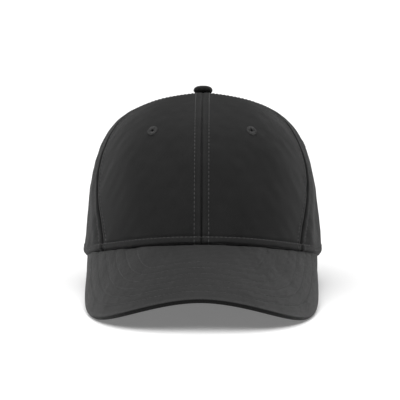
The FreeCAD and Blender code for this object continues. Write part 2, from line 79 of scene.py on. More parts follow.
BAR_ANGLE, BAR_AXIS, BAR_RADIUS, LOOP_END = 18.3, 82.3, 0.75, 33.0
BUTTON_SEAT, BUTTON_RADIUS, BUTTON_HEIGHT = CROWN_HEIGHT - 0.6, 7.2, 5.6
BUTTON_ROUNDNESS = 2 / 2.7  # the exponent of its superellipse
EYELET_HOLE, EYELET_RIM, EYELET_BORE = 1.25, 4.0, 2.15
EYELET_THREADS = 34
CLOTH = 0.8
SIDES = ((1, "left"), (-1, "right"))

# Layers inside the crown, as depths from its outer face
BUCKRAM_DEPTHS = (0.95, 1.5)
TAPE_OVER_BUCKRAM = (1.75, 2.2)
TAPE_ON_CLOTH = (1.0, 1.5)
TAPE_HALF_WIDTH, TAPE_ROW, TAPE_TOP_SHARE = 7.0, 1.4, 0.17
BAND_DEPTH = [(0, 3.2), (95, 3.2), (120, 5.1)]
BAND_TOP, BAND_THICKNESS = 30.0, 0.85
BAND_ROWS = (5.5, 26.5)
BINDING_WIDTH, BINDING_LIP, BINDING_THICKNESS = 6.0, 0.8, 1.9

# Sewing
STITCH = 3.1  # pitch of the topstitching
THREAD = 0.26
SEAM_ROW = 5.0  # distance of the topstitching from its seam
VISOR_ROWS = [11.0 + 8.0 * k for k in range(6)]


def to_row(points):
    """Row-frame metres from cap-frame millimetres, (..., 3)."""
    points = np.asarray(points, float)
    turned = points[..., :1] * ACROSS + points[..., 1:2] * BACK + points[..., 2:3] * UP
    return ORIGIN + MM * turned


# ------------------------------------------------------------------ the crown's and the visor's surfaces


def smooth(x):
    x = np.clip(x, 0.0, 1.0)
    return x * x * (3 - 2 * x)


def bump(x, middle, width):
    return np.exp(-(((x - middle) / width) ** 2))


def outline_arcs():
    bend = math.sin(math.radians(FRONT_ARC_END))
    share = (SIDE_RADIUS - FRONT_RADIUS) / (SIDE_RADIUS - BACK_RADIUS)
    back_start = 180 - math.degrees(math.asin(share * bend))
    normal = lambda d: np.array([math.sin(math.radians(d)), -math.cos(math.radians(d))])
    front = np.zeros(2)
    side = front + normal(FRONT_ARC_END) * (FRONT_RADIUS - SIDE_RADIUS)
    back = side + normal(back_start) * (SIDE_RADIUS - BACK_RADIUS)
    shift = np.array([0, FRONT_RADIUS - (back[1] + BACK_RADIUS + FRONT_RADIUS) / 2])
    return np.array([front + shift, side + shift, back + shift]), [0.0, FRONT_ARC_END, back_start, 180.0]


CENTRES, STARTS = outline_arcs()
RADII = np.array([FRONT_RADIUS, SIDE_RADIUS, BACK_RADIUS])
RUNS = np.concatenate([[0.0], np.cumsum(RADII * np.radians(np.diff(STARTS)))])
FRONT_Y = CENTRES[0, 1] - FRONT_RADIUS
STRAP_AXIS_Y = CENTRES[2, 1]


def outline(direction, inset=0.0):
    """Points of the head opening whose normals have these directions, (..., 2)."""
    side = np.abs(direction)
    arc = np.clip(np.searchsorted(STARTS, side, side="left") - 1, 0, 2)
    a = np.radians(side)
    x = CENTRES[arc, 0] + np.sin(a) * (RADII[arc] - inset)
    y = CENTRES[arc, 1] - np.cos(a) * (RADII[arc] - inset)
    return np.sign(direction) * x, y


def run_to(direction):
    return np.sign(direction) * np.interp(np.abs(direction), STARTS, RUNS)


def direction_after(run):
    return np.sign(run) * np.interp(np.abs(run), RUNS, STARTS)


def mix(direction, stations):
    """Smooth blend of (direction, value) stations."""
    side, value = np.abs(direction), np.full(np.shape(direction), float(stations[0][1]))
    for (a, low), (b, high) in zip(stations, stations[1:]):
        value = np.where(side > a, low + (high - low) * smooth((side - a) / (b - a)), value)
    return value


def crown_edge(direction):
    side = np.abs(direction)
    over_visor = EDGE_LIFT * np.maximum(0.0, 1 - (side / VISOR_TIP) ** 2) ** 2
    start, peak, end = SIDE_ARCH
    rise, fall = smooth((side - start) / (peak - start)), smooth((side - peak) / (end - peak))
    return over_visor + SIDE_RISE * rise * (1 - fall)


def crown_at(direction, share, rise, depth):
    edge = crown_edge(direction)
    height = edge + (CROWN_HEIGHT - PEAK - depth - edge) * rise
    height = height + PEAK * np.maximum(0.0, 1 - share / PEAK_REACH) ** 1.5
    lean = np.minimum((height - edge) / FLARE_HEIGHT, 1.0)
    flare = mix(direction, [(0, FLARE), (110, FLARE), (180, BACK_FLARE)]) * lean * (2 - lean) * share
    x, y = outline(direction, depth)
    a = np.radians(direction)
    x = x * share - flare * np.sin(a)
    y = APEX_Y + (y - APEX_Y) * share + flare * np.cos(a)
    return np.stack([x, y, height], -1)


def crown_point(direction, angle, depth=0.0):
    """Crown points; angle 0 is the lower edge and 90 is the apex."""
    direction, angle = np.broadcast_arrays(np.asarray(direction, float), np.asarray(angle, float))
    p = mix(direction, FULLNESS)
    c, s = np.cos(np.radians(angle)), np.sin(np.radians(angle))
    size = (c**p + s**p) ** (-1 / p)
    return crown_at(direction, c * size, s * size, depth)


def crown_at_height(direction, height, depth):
    edge = crown_edge(direction)
    rise = np.clip((height - edge) / (CROWN_HEIGHT - PEAK - depth - edge), 0, 1)
    p = mix(direction, FULLNESS)
    return crown_at(direction, (1 - rise**p) ** (1 / p), rise, depth)


def angle_at_share(direction, share):
    p = mix(direction, FULLNESS)
    return np.degrees(np.arctan2((1 - share**p) ** (1 / p), share))


def front_seam(angle):
    rise = np.sin(np.radians(angle))
    return FRONT_SEAM_BASE + (FRONT_SEAM_TOP - FRONT_SEAM_BASE) * smooth(rise / FRONT_SEAM_RISE)


def fixed_seam(direction):
    return lambda angle: np.full(np.shape(angle), float(direction))


def visor_rim(u):
    length = VISOR_SIDE_Y - (FRONT_Y - VISOR_LENGTH)
    c, s = np.cos(np.pi * u), np.sin(np.pi * u)
    power = 2 / VISOR_SQUARENESS
    x = -np.sign(c) * VISOR_HALF_WIDTH * np.abs(c) ** power
    y = VISOR_SIDE_Y - length * np.abs(s) ** power
    slope = math.radians(VISOR_SLOPE)
    sag = VISOR_RADIUS - np.sqrt(VISOR_RADIUS**2 - x * x)
    z = RIM_LIFT + (y - FRONT_Y) * math.tan(slope) - sag / math.cos(slope)
    return np.stack([x, y, z], -1)


def visor_root(u, inside=0.0):
    direction = (2 * u - 1) * VISOR_TIP
    x, y = outline(direction, inside)
    return np.stack([x, y, crown_edge(direction) + ROOT_RISE], -1)


# ------------------------------------------------------------------ mesh helpers


def unit(vectors):
    return vectors / np.maximum(np.linalg.norm(vectors, axis=-1, keepdims=True), 1e-9)


def grid_normals(points):
    """Outward normals of a grid whose rows go up and whose columns go to the right, seen from outside."""
    return unit(np.cross(np.gradient(points, axis=1), np.gradient(points, axis=0)))


def lengths(points, axis=0):
    """Distance along a grid or line from its first row or column."""
    steps = np.linalg.norm(np.diff(points, axis=axis), axis=-1)
    return np.concatenate([np.zeros_like(np.take(steps, [0], axis)), np.cumsum(steps, axis)], axis)


def sideways(points, normals, distance):
    """The same grid with its rows as columns."""
    return points.transpose(1, 0, 2), normals.transpose(1, 0, 2), distance.T


def mirrored_rows(points, normals, distance):
    """The same grid with each row read from its other end."""
    return points[:, ::-1], normals[:, ::-1], distance[:, ::-1]


def crowded(count, share):
    """Steps from 0 to 1 that are closer together at both ends."""
    t = np.linspace(0, 1, count)
    return share * (0.5 - 0.5 * np.cos(math.pi * t)) + (1 - share) * t


def waves(points, wavelength, seed):
    """Smooth noise of about unit size, the same on every run."""
    rng = np.random.default_rng(seed)
    total = np.zeros(points.shape[:-1])
    for _ in range(7):
        heading = unit(rng.normal(size=3)) * 2 * math.pi / (wavelength * rng.uniform(0.7, 1.5))
        total += np.sin(points @ heading + rng.uniform(0, 2 * math.pi))
    return total / 2.6


def placed(name, data):
    """New object in the scene."""
    made = bpy.data.objects.new(name, data)
    bpy.context.scene.collection.objects.link(made)
    return made


def build(name, vertices, faces, weave=None, wear_and_painted_shade=None):
    """Mesh object from cap-frame millimetres and arrays of faces; weave is a UV map in millimetres."""
    mesh = bpy.data.meshes.new(name)
    corners = np.concatenate([np.asarray(f).ravel() for f in faces]).astype(np.int32)
    sides = np.concatenate([np.full(len(f), np.shape(f)[1]) for f in faces]).astype(np.int32)
    mesh.vertices.add(len(vertices))
    mesh.vertices.foreach_set("co", to_row(vertices).astype(np.float32).ravel())
    mesh.loops.add(len(corners))
    mesh.loops.foreach_set("vertex_index", corners)
    mesh.polygons.add(len(sides))
    starts = np.concatenate([[0], np.cumsum(sides)[:-1]])
    mesh.polygons.foreach_set("loop_start", starts.astype(np.int32))
    mesh.polygons.foreach_set("loop_total", sides)
    mesh.update(calc_edges=True)
    mesh.polygons.foreach_set("use_smooth", np.ones(len(sides), bool))
    mesh.set_sharp_from_angle(angle=math.radians(52))
    if weave is not None:
        layer = mesh.uv_layers.new(name="weave")
        layer.data.foreach_set("uv", np.asarray(weave, np.float32)[corners].ravel())
    if wear_and_painted_shade is not None:
        attribute = mesh.attributes.new("wear_and_painted_shade", "FLOAT", "POINT")
        attribute.data.foreach_set("value", np.asarray(wear_and_painted_shade, np.float32).ravel())
    return placed(name, mesh)


def grid_faces(rows, columns, start=0, flip=False, closed=False, looped=False):
    """Quads of a grid; closed joins its last column to the first, and looped its last row."""
    index = start + np.arange(rows * columns).reshape(rows, columns)
    if looped:
        index = np.concatenate([index, index[:1]])
    if closed:
        index = np.concatenate([index, index[:, :1]], 1)
    quads = np.stack([index[:-1, :-1], index[:-1, 1:], index[1:, 1:], index[1:, :-1]], -1).reshape(-1, 4)
    return quads[:, ::-1] if flip else quads


def tube_faces(rows, columns):
    """Faces of a tube with a flat cap at each end."""
    first = np.arange(columns)
    return [grid_faces(rows, columns, closed=True), first[None, ::-1], first[None] + (rows - 1) * columns]


def shell(name, outer, inner, weave, wear_and_painted_shade=None):
    """Closed sheet between two grids of the same size."""
    rows, columns = outer.shape[:2]
    count = rows * columns
    index = np.arange(count).reshape(rows, columns)
    loop = np.concatenate([index[0], index[1:, -1], index[-1, -2::-1], index[-2:0:-1, 0]])
    ahead = np.roll(loop, -1)
    rim = np.stack([loop, loop + count, ahead + count, ahead], -1)
    faces = [grid_faces(rows, columns), grid_faces(rows, columns, count, True), rim]
    both = np.concatenate([outer.reshape(-1, 3), inner.reshape(-1, 3)])
    twice = lambda values, size: None if values is None else np.concatenate([values.reshape(-1, size)] * 2)
    return build(name, both, faces, twice(weave, 2), twice(wear_and_painted_shade, 1))


def grid_weave(points):
    """Where each point of a grid lies on the flat cloth, in millimetres."""
    along = lengths(points, 1)
    return np.stack([along - along[:, -1:] / 2, lengths(points, 0)], -1)


def sweep(name, line, across, up, profile):
    """Closed bar along a line; profile holds its offsets along across and up."""
    if np.dot(np.cross(across[0], up[0]), line[1] - line[0]) < 0:
        profile = profile[::-1]
    grid = line[:, None] + across[:, None] * profile[None, :, :1] + up[:, None] * profile[None, :, 1:]
    faces = tube_faces(*grid.shape[:2])
    girth, run = np.broadcast_arrays(lengths(profile)[None], lengths(line)[:, None])
    return build(name, grid.reshape(-1, 3), faces, np.stack([girth, run], -1).reshape(-1, 2))


def strip_profile(width, thickness, bulge=0.0, rows=(), dent=0.2, steps=41):
    """Section of a tape with round edges, from the middle of its under face, dented by rows of stitches."""
    r = thickness / 2
    half = width / 2 - r
    turn = np.linspace(-math.pi / 2, math.pi / 2, 9)[1:-1]
    flat = np.linspace(-half, half, steps)
    pressed = dent * sum((bump(flat, row, 0.6) for row in rows), 0 * flat)
    face = r + bulge * (1 - (flat / half) ** 2) - pressed
    under = np.stack([flat, -face], -1)
    right = np.stack([half + r * np.cos(turn), r * np.sin(turn)], -1)
    middle = steps // 2
    over, left = under[::-1] * [1, -1], right[::-1] * [-1, 1]
    return np.concatenate([under[middle:], right, over, left, under[:middle]])


def revolve(radii, heights, centre, normal, turns):
    """Surface turned about an axis; radii and heights run from its under side round to its top."""
    aside = unit(np.cross(normal, [0.31, 0.2, 0.93]))
    other = np.cross(normal, aside)
    a = np.arange(turns) * 2 * math.pi / turns
    spoke = np.cos(a)[:, None] * aside + np.sin(a)[:, None] * other
    return centre + radii[:, None, None] * spoke + heights[:, None, None] * normal


def resample(points, normals, pitch):
    """Evenly spaced places along a line, with its direction and normal there."""
    run = lengths(points)
    count = int(run[-1] / pitch)
    at = (np.arange(count) + 0.5) * run[-1] / count
    read = lambda values, at: np.stack([np.interp(at, run, values[:, k]) for k in range(3)], -1)
    along = unit(read(points, at + 0.6) - read(points, at - 0.6))
    return read(points, at), along, unit(read(normals, at))


STITCH_ROUND = 6
STITCH_REACH = np.array([-1.0, -0.86, -0.5, 0.0, 0.5, 0.86, 1.0])
STITCH_WIDTH = np.array([0.3, 0.75, 1.0, 1.0, 1.0, 0.75, 0.3])


def stitches(name, lines, body, pitch=STITCH, thread=THREAD, share=0.74, seed=1):
    """Rows of stitches: each is a short thread that dips into the cloth at both ends."""
    rng = np.random.default_rng(seed)
    turn = np.arange(STITCH_ROUND) * 2 * math.pi / STITCH_ROUND
    vertices, faces, start = [], [], 0
    for points, normals in lines:
        if len(points) < 3 or lengths(points)[-1] < 2 * pitch:
            continue
        for centre, along, normal in zip(*resample(points, normals, pitch)):
            side = unit(np.cross(normal, along))
            half = pitch * share / 2 * rng.uniform(0.92, 1.05)
            heading = along + side * rng.uniform(-0.06, 0.06)
            bow = thread * (0.55 - 1.5 * STITCH_REACH**4)
            core = centre + np.outer(STITCH_REACH * half, heading) + np.outer(bow, normal)
            ring = np.outer(np.cos(turn) * 1.15, side) + np.outer(np.sin(turn), normal)
            skin = core[:, None] - thread * STITCH_WIDTH[:, None, None] * ring[None]
            vertices.append(skin.reshape(-1, 3))
            first = start + np.arange(STITCH_ROUND)
            last = first + (len(core) - 1) * STITCH_ROUND
            sides = grid_faces(len(core), STITCH_ROUND, start, flip=True, closed=True)
            faces.append((sides, first[None], last[None, ::-1]))
            start += len(core) * STITCH_ROUND
    sides, begins, ends = (np.concatenate(group) for group in zip(*faces))
    made = build(name, np.concatenate(vertices), [sides, begins, ends])
    dress(made, "thread", body, "eyelet_thread")


def line_at(points, normals, distance, value, room=1.0):
    """Line through a grid where a distance that grows along its rows has this value."""
    line, normal = [], []
    for p, n, d in zip(points, normals, distance):
        if d.max() > value * room:
            j = int(np.argmax(d > value))
            part = (value - d[j - 1]) / (d[j] - d[j - 1]) if j else 0.0
            line.append(p[j - 1] * (1 - part) + p[j] * part if j else p[0])
            normal.append(n[j])
    return np.array(line).reshape(-1, 3), np.array(normal).reshape(-1, 3)


def kept(line, keep):
    points, normals = line
    mask = keep(points)
    return points[mask], normals[mask]


def tidy_normals(obj):
    """Turns all faces of a closed piece outwards."""
    work = bmesh.new()
    work.from_mesh(obj.data)
    bmesh.ops.recalc_face_normals(work, faces=work.faces)
    work.to_mesh(obj.data)
    work.free()


def carve(obj, cutters):
    """Cuts closed bodies out of a piece."""
    for cutter in cutters:
        tidy_normals(cutter)
        modifier = obj.modifiers.new("carve", "BOOLEAN")
        modifier.operation = "DIFFERENCE"
        modifier.solver = "EXACT"
        modifier.object = cutter
    depsgraph = bpy.context.evaluated_depsgraph_get()
    mesh = bpy.data.meshes.new_from_object(obj.evaluated_get(depsgraph), depsgraph=depsgraph)
    obj.modifiers.clear()
    obj.data = mesh
    for cutter in cutters:
        bpy.data.objects.remove(cutter)


# ------------------------------------------------------------------ materials


class Shader:
    """Procedural material on one Principled surface."""

    def __init__(self, name, **constants):
        self.material = bpy.data.materials.new(name)
        self.material.use_nodes = True
        self.tree = self.material.node_tree
        self.surface = self.tree.nodes["Principled BSDF"]
        for socket, value in constants.items():
            self.surface.inputs[socket.replace("_", " ")].default_value = value

    def put(self, socket, value):
        if isinstance(value, bpy.types.NodeSocket):
            self.tree.links.new(value, socket)
        else:
            socket.default_value = value

    def node(self, kind, inputs=None, **settings):
        made = self.tree.nodes.new("ShaderNode" + kind)
        for key, value in settings.items():
            setattr(made, key, value)
        for key, value in (inputs or {}).items():
            self.put(made.inputs[key], value)
        return made

    def math(self, operation, a, b=0.0):
        return self.node("Math", {0: a, 1: b}, operation=operation).outputs[0]

    def place(self, stretch=(1, 1, 1)):
        """Coordinates on the object in millimetres."""
        coordinates = self.node("TexCoord").outputs["Object"]
        scale = [1000.0 * k for k in stretch]
        return self.node("Mapping", {"Vector": coordinates, "Scale": scale}).outputs[0]

    def noise(self, size, detail=3.0, stretch=(1, 1, 1)):
        """Noise from 0 to 1 with features of this size in millimetres."""
        inputs = {"Vector": self.place(stretch), "Scale": 1.0 / size, "Detail": detail, "Roughness": 0.6}
        return self.node("TexNoise", inputs).outputs["Fac"]

    def span(self, value, low, high, to_low=0.0, to_high=1.0):
        inputs = {"Value": value, "From Min": low, "From Max": high, "To Min": to_low, "To Max": to_high}
        return self.node("MapRange", inputs).outputs[0]

    def mix(self, factor, low, high):
        made = self.node("Mix", data_type="RGBA")
        self.put(made.inputs[0], factor)
        self.put(made.inputs[6], low)
        self.put(made.inputs[7], high)
        return made.outputs[2]

    def wave(self, value, period):
        """Sine between -1 and 1 of a length in millimetres."""
        return self.math("SINE", self.math("MULTIPLY", value, 2 * math.pi / period))

    def finish(self, colour, height, distance, roughness):
        """Connects colour, bump height (its relief in millimetres) and roughness."""
        bumped = self.node("Bump", {"Height": height, "Distance": distance * MM, "Strength": 1.0})
        self.put(self.surface.inputs["Base Color"], colour)
        self.put(self.surface.inputs["Normal"], bumped.outputs[0])
        self.put(self.surface.inputs["Roughness"], roughness)
        return self.material


def grey(value, warmth=0.0):
    return (value * (1 + warmth), value, value * (1 - warmth), 1.0)


def woven(name, dark, light, pitch, lean, relief, worn, sheen, warmth=0.0):
    """Cloth with diagonal wales (lean in degrees), crossed by single yarns, with lint, worn edges and
    painted shade in creases.
    """
    made = Shader(name, Sheen_Weight=sheen, Sheen_Roughness=0.45, Specular_IOR_Level=0.16)
    weave = made.node("UVMap", uv_map="weave").outputs[0]
    parts = made.node("SeparateXYZ", {0: weave}).outputs
    drift = made.math("MULTIPLY", made.noise(9.0, 2.0), pitch * 1.4)
    turned = made.node("VectorMath", {0: weave}, operation="DOT_PRODUCT")
    turned.inputs[1].default_value = (math.cos(math.radians(lean)), math.sin(math.radians(lean)), 0)
    wale = made.wave(made.math("ADD", turned.outputs["Value"], drift), pitch)
    yarn = made.wave(parts[1], pitch * 0.55)
    fibre = made.noise(0.55, 4.0)
    cloth = made.math("ADD", made.math("MULTIPLY", wale, 0.32), made.math("MULTIPLY", yarn, 0.12))
    height = made.math("ADD", cloth, made.math("MULTIPLY", fibre, 0.9))
    tone = made.math("ADD", made.math("MULTIPLY", wale, 0.16), made.span(fibre, 0.3, 0.7, -0.1, 0.35))
    patches = made.span(made.noise(38.0, 4.0), 0.3, 0.7, -0.15, 0.25)
    tone = made.math("ADD", made.math("ADD", tone, patches), 0.35)
    colour = made.mix(tone, grey(dark, warmth), grey(light, warmth))
    lint = made.span(made.noise(1.1, 5.0), 0.66, 0.76, 0.0, 0.6)
    colour = made.mix(lint, colour, grey(worn * 1.2, warmth))
    # The attribute is positive where the cloth is worn lighter and negative where shade is painted in
    wear_and_shade_fac = made.node("Attribute", attribute_name="wear_and_painted_shade").outputs["Fac"]
    rub = made.math("MAXIMUM", wear_and_shade_fac, 0.0)
    rub = made.math("MULTIPLY", rub, made.span(made.noise(2.2, 4.0), 0.3, 0.7, 0.35, 1.0))
    colour = made.mix(rub, colour, grey(worn, warmth))
    # Painted shade: darker in seam grooves, in the gap under the welt and along the visor's edge
    painted_shade = made.math("MAXIMUM", made.math("MULTIPLY", wear_and_shade_fac, -1.0), 0.0)
    colour = made.mix(painted_shade, colour, grey(dark * 0.3, warmth))
    roughness = made.span(fibre, 0.3, 0.7, 0.82, 0.95)
    return made.finish(colour, height, relief, roughness)


def threads(name, dark, light, size=0.35, roughness=0.62):
    """Twisted thread: fine noise drawn out, with a soft gloss."""
    made = Shader(name, Sheen_Weight=0.3, Sheen_Roughness=0.35, Specular_IOR_Level=0.35)
    twist = made.noise(size, 4.0, (1.0, 1.0, 0.35))
    tone = made.math("ADD", twist, made.span(made.noise(20.0), 0.3, 0.7, -0.2, 0.2))
    gloss = made.span(twist, 0.3, 0.7, roughness, 0.8)
    return made.finish(made.mix(tone, grey(dark), grey(light)), twist, 0.12, gloss)


def metal(name, dark, light):
    """Antique nickel: brushed along its length, darker in patches."""
    made = Shader(name, Metallic=1.0, Specular_IOR_Level=0.5)
    brushed = made.noise(0.18, 5.0, (0.12, 1.0, 1.0))
    patina = made.span(made.noise(4.5, 3.0), 0.25, 0.75)
    pits = made.span(made.noise(0.7, 4.0), 0.66, 0.80, 0.0, 0.4)
    colour = made.mix(patina, grey(dark, 0.03), grey(light, 0.03))
    colour = made.mix(pits, colour, grey(dark * 0.5))
    roughness = made.math("ADD", made.span(brushed, 0.3, 0.7, 0.24, 0.40), made.math("MULTIPLY", pits, 0.2))
    return made.finish(colour, made.math("SUBTRACT", brushed, pits), 0.02, roughness)


def netting(name, dark, light):
    """Stiffened open mesh: a square grid of yarns with small dark holes."""
    made = Shader(name, Sheen_Weight=0.1, Specular_IOR_Level=0.3)
    parts = made.node("SeparateXYZ", {0: made.node("UVMap", uv_map="weave").outputs[0]}).outputs
    grid = made.math("MAXIMUM", made.wave(parts[0], 1.1), made.wave(parts[1], 1.1))
    yarns = made.math("ADD", made.span(grid, -0.2, 0.7), made.math("MULTIPLY", made.noise(0.4), 0.3))
    colour = made.mix(yarns, grey(dark), grey(light))
    return made.finish(colour, yarns, 0.25, made.span(yarns, 0, 1, 0.9, 0.7))


def moulded(name, dark, light):
    """Moulded board: fine even grain with faint flow marks."""
    made = Shader(name, Specular_IOR_Level=0.4)
    grain = made.noise(0.5, 4.0)
    flow = made.noise(14.0, 3.0, (0.3, 1.0, 1.0))
    colour = made.mix(flow, grey(dark), grey(light))
    return made.finish(colour, grain, 0.06, made.span(grain, 0.3, 0.7, 0.5, 0.65))


def textile(pitch, lean, relief, **look):
    """Pitch of a cloth's wales and their relief in millimetres, their lean in degrees, and its look."""
    return dict(pitch=pitch, lean=lean, relief=relief, **look)


# Kind, darkest and lightest linear grey, and the rest of each material
MATERIALS = {
    "twill": (woven, 0.0105, 0.0215, textile(0.85, 62, 0.16, worn=0.033, sheen=0.13)),
    # The visor's covers are the same cotton twill as the crown; this copy is painted lighter to stand in
    # for the extra light on the visor
    "twill_visor_painted_lighter": (woven, 0.0165, 0.032, textile(0.85, 62, 0.16, worn=0.042, sheen=0.18)),
    "twill_binding": (woven, 0.015, 0.030, textile(0.8, 45, 0.16, worn=0.04, sheen=0.18)),
    "webbing": (woven, 0.014, 0.028, textile(1.1, 90, 0.22, worn=0.04, sheen=0.18)),
    "band": (woven, 0.020, 0.036, textile(0.7, 30, 0.12, worn=0.045, sheen=0.15)),
    "tape": (woven, 0.019, 0.036, textile(1.0, 45, 0.16, worn=0.045, sheen=0.15)),
    "satin": (woven, 0.40, 0.55, textile(0.5, 90, 0.05, worn=0.6, sheen=0.3, warmth=0.02)),
    "buckram": (netting, 0.015, 0.06, {}),
    "thread": (threads, 0.027, 0.088, {}),
    "eyelet": (threads, 0.022, 0.065, dict(size=0.5)),
    "nickel": (metal, 0.17, 0.27, {}),
    "button": (metal, 0.30, 0.55, {}),
    "board": (moulded, 0.03, 0.05, {}),
}
made_materials = {}


def material(look):
    if look not in made_materials:
        kind, dark, light, rest = MATERIALS[look]
        made_materials[look] = kind(look, dark, light, **rest)
    return made_materials[look]


def dress(obj, look, body, slot, *nodes):
    """Gives a piece its material, its body and the CAD nodes that it stands for; slot is not used."""
    obj.data.materials.clear()
    obj.data.materials.append(material(look))
    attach(obj, body)
    if nodes:
        obj.name = f"sewn_{nodes[0]}"
        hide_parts(*nodes)
    return obj


def cut_cloth(points):
    """Works out the flat size of a piece's grid of points and its area; nothing is done with them."""
    wide = lengths(points, 1)[:, -1].max() * MM
    long = lengths(points, 0)[-1].max() * MM
    sides = np.cross(points[1:, 1:] - points[:-1, :-1], points[1:, :-1] - points[:-1, 1:])
    area = np.linalg.norm(sides, axis=-1).sum() / 2 * MM * MM
    area = min(area, wide * long)


# ------------------------------------------------------------------ crown panels

# Depth and width of the groove at each seam, and how far the cloth beside it stands up
SEAMS = {
    "centre": (1.1, 0.7, 0.35),
    "front": (2.2, 1.05, 0.3),
    "back": (1.1, 0.75, 0.4),
    "rear": (1.1, 0.75, 0.35),
}
BASE_ROW = 4.0  # distance of the stitching from the crown's lower edge at the sides and back
WELT_ROW = 7.6  # and above the visor


def crown_grid(left, right, bottom, top, columns, rows, crowd=0.55):
    """Directions and angles of a grid on the crown, between two seams."""
    across = crowded(columns, crowd)[None]
    middle = left(np.array(45.0)) + (right(np.array(45.0)) - left(np.array(45.0))) * across
    upward = np.linspace(0, 1, rows)[:, None] ** 1.15
    angle = bottom + (top(middle) - bottom) * upward
    run = run_to(left(angle)) * (1 - across) + run_to(right(angle)) * across
    return direction_after(run), angle


def seam_relief(distance, run, kind):
    """Relief beside a topstitched seam: the groove, the folded allowance and the dent of the stitches."""
    depth, width, stand = SEAMS[kind]
    pucker = 0.5 + 0.5 * np.cos(2 * math.pi * run / STITCH)
    groove = -depth * np.exp(-((distance / width) ** 2))
    ridge = stand * smooth((distance - 0.2) / 1.8) * (1 - smooth((distance - SEAM_ROW + 0.4) / 2.2))
    dent = -(0.24 + 0.12 * pucker) * bump(distance, SEAM_ROW, 0.65)
    return groove + ridge + dent


def base_relief(height, points, over_visor):
    """Relief at the lower edge: a folded welt above the visor, and a stitched fold elsewhere."""
    wander = 0.35 * waves(points, 26, 5)
    welt = 0.75 * smooth((height - 2.3 + wander) / 0.8) * (1 - smooth((height - 6.2 + wander) / 1.0))
    welt = welt - 1.2 * (1 - smooth((height - 1.6 + wander) / 1.2))
    welt = welt - 0.5 * bump(height, WELT_ROW + wander, 0.9)
    fold = 0.45 * smooth((height + 0.2) / 1.2) * (1 - smooth((height - BASE_ROW) / 1.6))
    fold = fold - 0.6 * np.exp(-((height / 0.7) ** 2)) - 0.3 * bump(height, BASE_ROW, 0.7)
    return welt * over_visor + fold * (1 - over_visor)


def cloth_wave(points, kind):
    """Soft unevenness of each kind of panel; the side panels have no stiffener and sag in upright folds."""
    uneven = 0.28 * waves(points * [1, 1, 0.6], 34, 11) + 0.10 * waves(points, 11, 12)
    if kind == "front":
        return uneven
    folds = 0.5 * waves(points * [1, 1, 0.25], 24, 13)
    return uneven + folds * smooth((95 - points[..., 2]) / 50)


def inside_arch(points, grow):
    across = np.abs(points[..., 0])
    spring = ARCH_HEIGHT - ARCH_HALF_WIDTH
    over = np.hypot(points[..., 0], np.maximum(points[..., 2] - spring, 0))
    within = np.where(points[..., 2] > spring, over, across)
    return (within < ARCH_HALF_WIDTH + grow) & (points[..., 1] > 0)


def arch_line(grow, count=160):
    """Points (x, height) along the back opening's edge, from the foot on one side to the other."""
    radius = ARCH_HALF_WIDTH + grow
    spring = ARCH_HEIGHT - ARCH_HALF_WIDTH
    run = np.linspace(0, 2 * spring + math.pi * radius, count)
    turn = np.clip((run - spring) / radius, 0, math.pi)
    height = np.where(run < spring, run, np.where(run > spring + math.pi * radius, run[::-1], 0))
    over = spring + radius * np.sin(turn)
    bent = (run >= spring) & (run <= spring + math.pi * radius)
    return -radius * np.cos(turn), np.where(bent, over, height)


def on_back(x, height, depth=0.0):
    """Points of the back wall at an x and a height."""
    table = np.linspace(120, 180, 241)
    found = []
    for px, h in zip(x, height):
        wall = crown_at_height(table, np.full(table.shape, h), depth)
        direction = np.interp(-abs(px), -wall[:, 0], table)
        point = crown_at_height(direction, h, depth)
        found.append([math.copysign(point[0], px), point[1], point[2]])
    return np.array(found)


def prism(name, x, z, y_low, y_high):
    """Cutter with the outline (x, z) between two planes."""
    n = len(x)
    near = np.stack([x, np.full(n, y_low), z], -1)
    far = np.stack([x, np.full(n, y_high), z], -1)
    ring = np.arange(n)
    ahead = np.roll(ring, -1)
    sides = np.stack([ring, ring + n, ahead + n, ahead], -1)
    return build(name, np.concatenate([near, far]), [sides, ring[None], ring[None, ::-1] + n])


def arch_cutter():
    x, z = arch_line(0.0, 90)
    foot = np.array([-30.0, -30.0])
    return prism("arch_cutter", np.append(x, x[[-1, 0]]), np.append(z, foot), STRAP_AXIS_Y + 20, 140.0)


def eyelet_place(pair, side):
    direction, angle = EYELETS[pair]
    direction = direction * side
    step = 0.5
    centre = crown_point(direction, angle)
    across = crown_point(direction + step, angle) - crown_point(direction - step, angle)
    up = crown_point(direction, angle + step) - crown_point(direction, angle - step)
    return centre, unit(np.cross(across, up))


def bore(pair, side, turns=32):
    """Cutter for the hole that an eyelet is sewn into."""
    centre, normal = eyelet_place(pair, side)
    radii, heights = np.full(2, EYELET_BORE), np.array([-9.0, 5.0])
    grid = revolve(radii, heights, centre, normal, turns)
    return build("bore", grid.reshape(-1, 3), tube_faces(2, turns))


